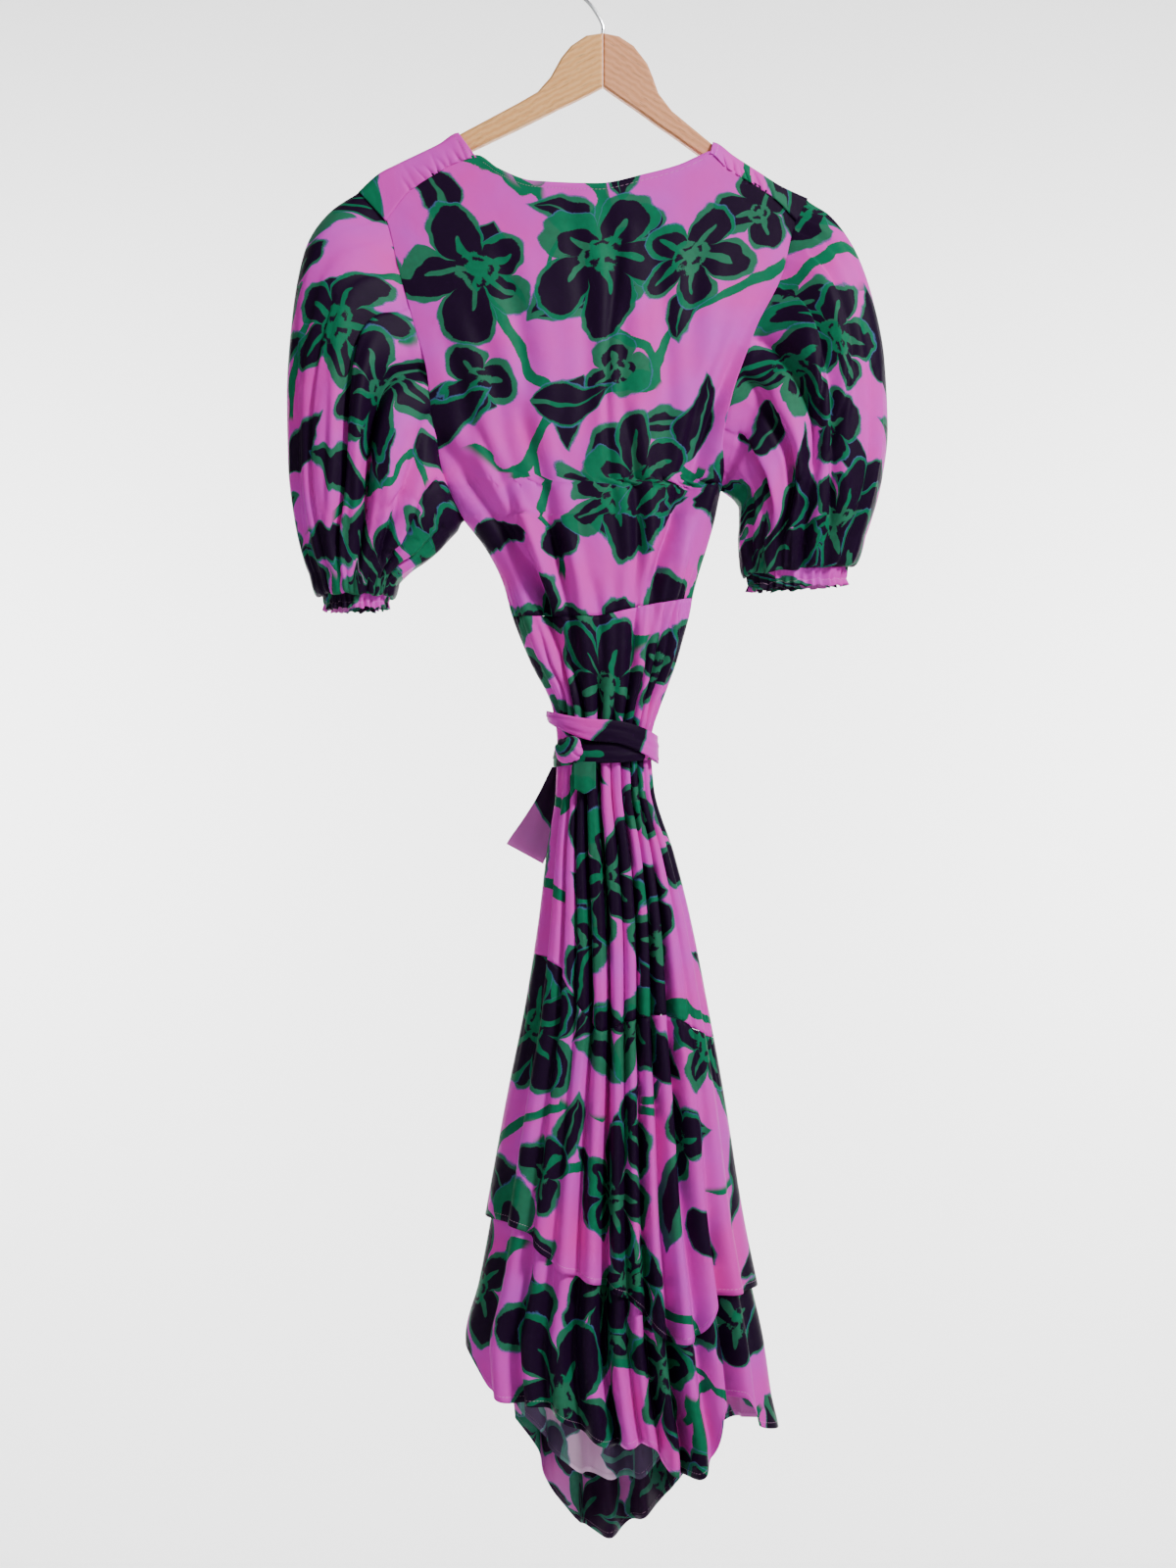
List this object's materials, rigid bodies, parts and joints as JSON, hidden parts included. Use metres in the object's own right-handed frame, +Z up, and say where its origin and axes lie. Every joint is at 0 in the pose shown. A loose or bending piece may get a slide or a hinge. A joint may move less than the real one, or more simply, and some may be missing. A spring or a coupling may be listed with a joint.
{
  "type": "wrap dress on a hanger",
  "caption": "Long wrap dress with puffed elbow sleeves, a tied belt and a tiered ruffled skirt, hung on a plain wooden hanger.",
  "frame": {"origin": "inside top of the hanger's hook, where a rod carries it", "axes": "+Z up, +Y out of the back of the dress, +X to the wearer's left"},
  "size_m": [0.5518, 0.1668, 1.464],
  "materials": {
    "silk": "satin",
    "belt_silk": "satin",
    "wood": "matte",
    "steel": "polished"
  },
  "bodies": {
    "root": {"bodice_back": "silk", "bodice_front_right": "silk", "bodice_front_left": "silk", "sleeve_left": "silk", "sleeve_right": "silk", "cuff_left": "silk", "cuff_right": "silk", "skirt_back": "silk", "skirt_front_right": "silk", "skirt_front_left": "silk", "flounce_upper_back": "silk", "flounce_upper_front_right": "silk", "flounce_upper_front_left": "silk", "flounce_lower_back": "silk", "flounce_lower_front_right": "silk", "flounce_lower_front_left": "silk", "belt_under": "belt_silk", "belt_over": "belt_silk", "belt_knot": "belt_silk", "belt_tail": "belt_silk", "belt_loop": "belt_silk", "hanger_arm_left": "wood", "hanger_arm_right": "wood", "hanger_hook": "steel"}
  },
  "joints": []
}
